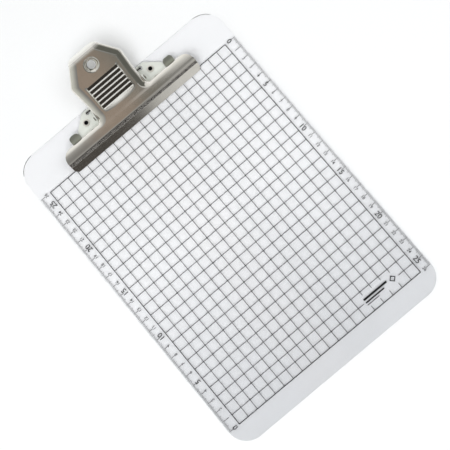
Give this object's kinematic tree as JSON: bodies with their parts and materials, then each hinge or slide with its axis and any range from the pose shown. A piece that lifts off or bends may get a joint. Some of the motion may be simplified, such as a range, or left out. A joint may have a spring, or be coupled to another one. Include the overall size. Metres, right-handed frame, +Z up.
{
  "type": "clipboard",
  "caption": "Clear plastic clipboard with a printed centimetre grid, edge rulers and a wide sprung lever clip with a hanging hole.",
  "frame": {"origin": "centre of the board's underside, which is the surface it lies on", "axes": "+Y along the board's long side towards the clip, +Z up out of the writing face, +X to the right seen from above with the clip at the top"},
  "size_m": [0.223, 0.3499, 0.0376],
  "materials": {
    "clear_plastic": "moulded clear, glossy",
    "zinc_plated_steel": "bright plated sheet",
    "nickel_plated_steel": "nickel plated, glossy",
    "steel_pin": "turned, plated",
    "spring_steel": "drawn wire, oiled",
    "nickel_rivet": "nickel plated tube",
    "printing_ink": "screen printed"
  },
  "bodies": {
    "board": {"board": "clear_plastic", "base_plate": "zinc_plated_steel", "pivot_pin": "steel_pin", "torsion_spring": "spring_steel", "rivet_left": "nickel_rivet", "rivet_right": "nickel_rivet", "back_washer_left": "zinc_plated_steel", "back_washer_right": "zinc_plated_steel"},
    "lever": {"lever": "nickel_plated_steel"}
  },
  "joints": [
    {"name": "lever_hinge", "type": "hinge", "parent": "board", "child": "lever", "pos_m": [0, 0.1435, 0.0115], "axis": [-1, 0, 0], "range_deg": [0, 22], "stiffness_Nm_per_rad": 1.3, "springref_deg": -22.92, "deforming": ["torsion_spring"]}
  ]
}
